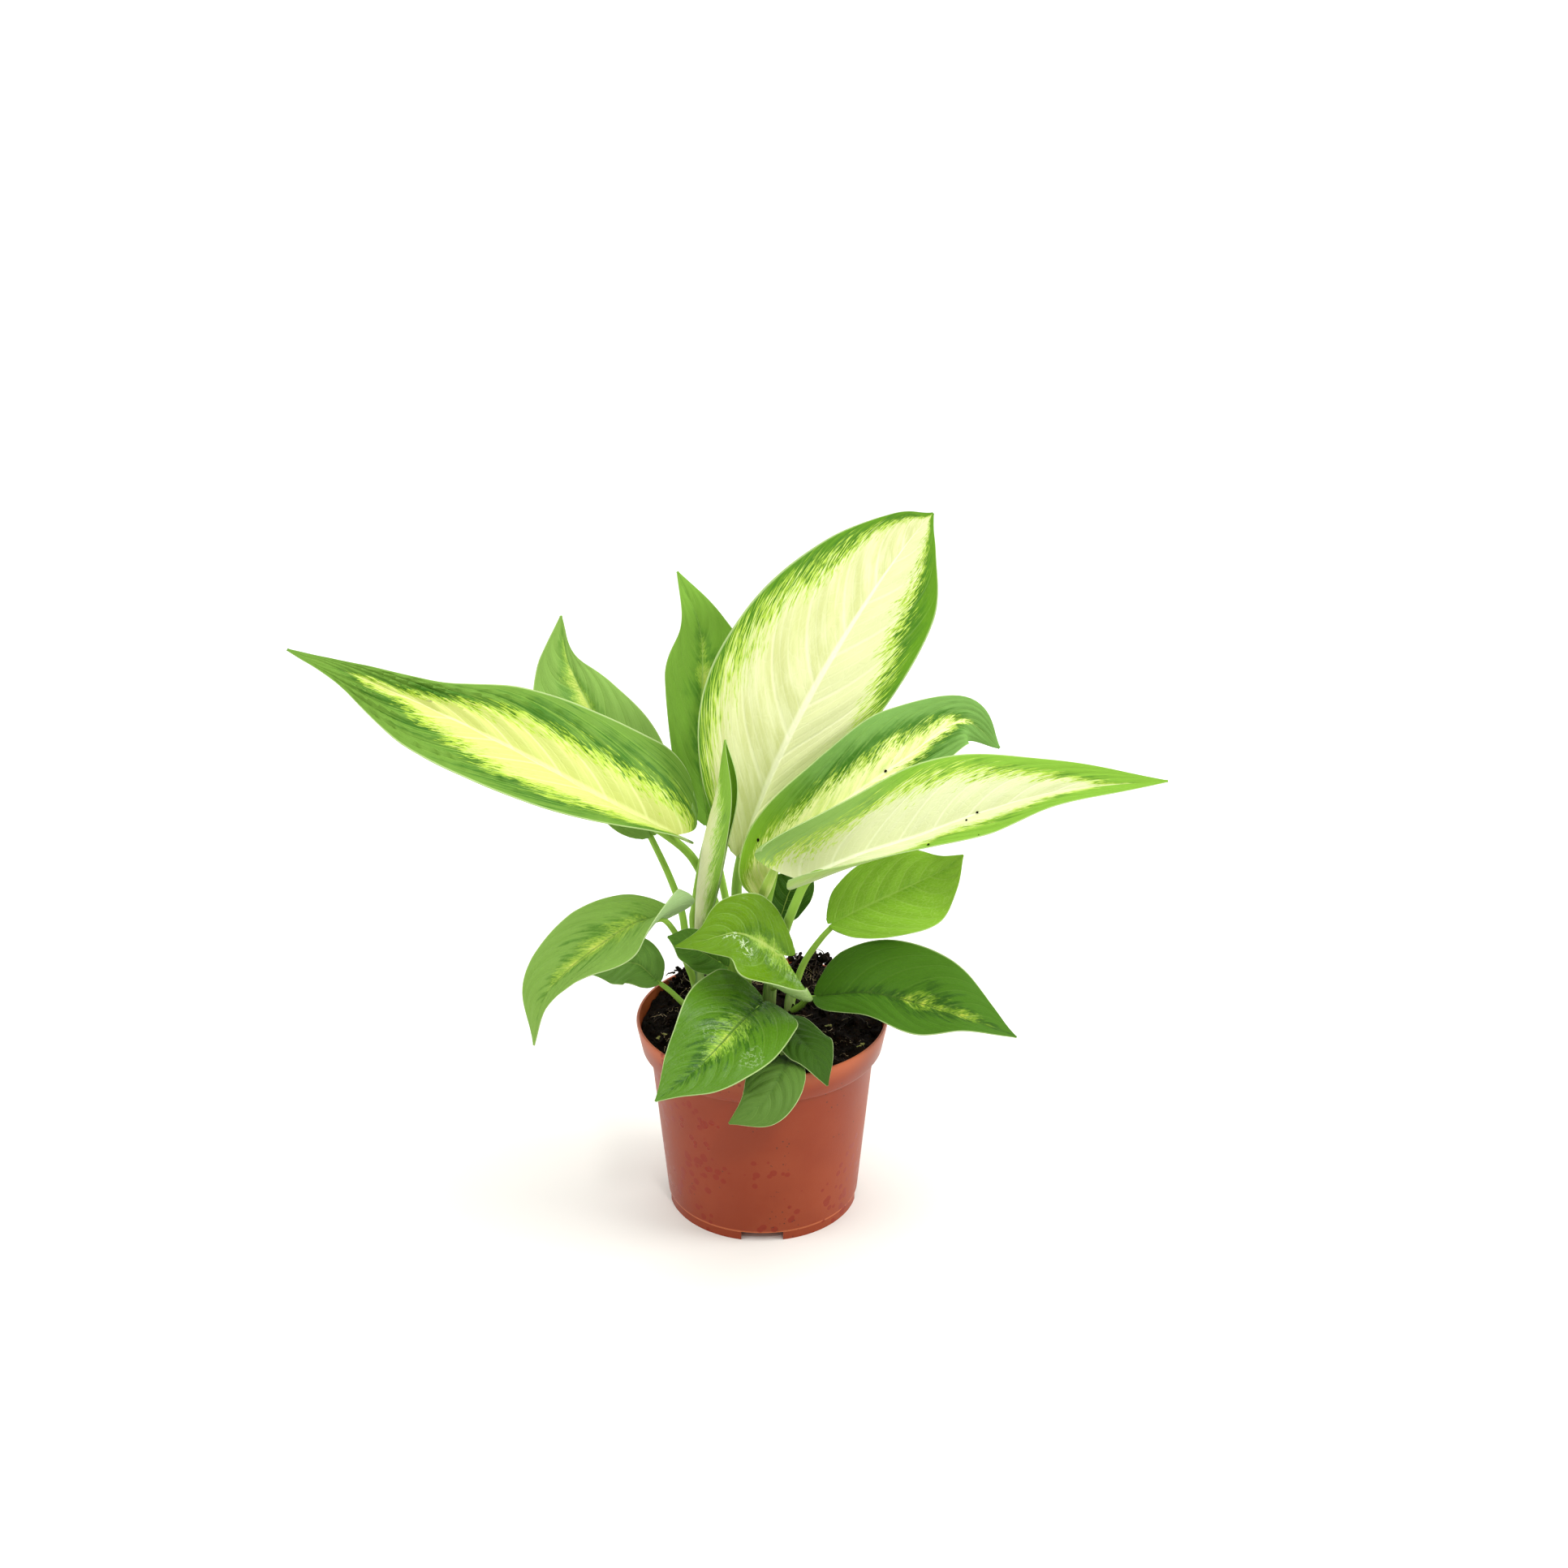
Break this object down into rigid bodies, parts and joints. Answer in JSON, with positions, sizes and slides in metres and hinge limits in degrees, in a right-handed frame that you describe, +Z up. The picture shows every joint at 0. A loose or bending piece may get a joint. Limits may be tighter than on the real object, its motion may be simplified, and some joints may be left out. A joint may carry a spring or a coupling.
{
  "type": "potted dieffenbachia",
  "caption": "Young variegated dieffenbachia with cream and green leaves, growing from dark soil in a round terracotta-coloured plastic nursery pot that stands on its foot.",
  "frame": {"origin": "on the pot's vertical axis, at the plane that the pot stands on, in the middle of the raised floor's central disc", "axes": "+Z up along the pot's axis; -Y towards the viewer of the picture, so that the two largest leaves spread along -X and +X"},
  "size_m": [0.3812, 0.1485, 0.3275],
  "materials": {
    "pot": "satin moulded plastic, terracotta orange-brown, lighter at the rim, with small damp spots",
    "soil": "moist dark peat, crumbly and matte, with fibres and pale root hairs",
    "stem": "smooth light green stalk tissue, satin",
    "green_leaf": "mid to dark green leaf, yellow flecks along the midrib, satin with some gloss, thin pale margin",
    "cream_leaf": "cream-yellow leaf with a feathered green border and pale veins, satin"
  },
  "bodies": {
    "root": {"pot": "pot", "soil": "soil", "stem_left": "stem", "stem_middle": "stem", "stem_right": "stem", "stem_far_right": "stem", "stem_front": "stem", "leaf_top": "cream_leaf", "leaf_left": "cream_leaf", "leaf_back_left": "green_leaf", "leaf_back": "green_leaf", "leaf_arching": "cream_leaf", "leaf_right": "cream_leaf", "leaf_right_small": "green_leaf", "leaf_right_low": "green_leaf", "leaf_left_low": "green_leaf", "leaf_left_behind": "green_leaf", "leaf_spear": "cream_leaf", "leaf_curled": "green_leaf", "leaf_front": "green_leaf", "leaf_front_right": "green_leaf", "leaf_front_low": "green_leaf", "leaf_behind_stalk": "green_leaf", "leaf_tucked": "green_leaf"}
  },
  "joints": []
}
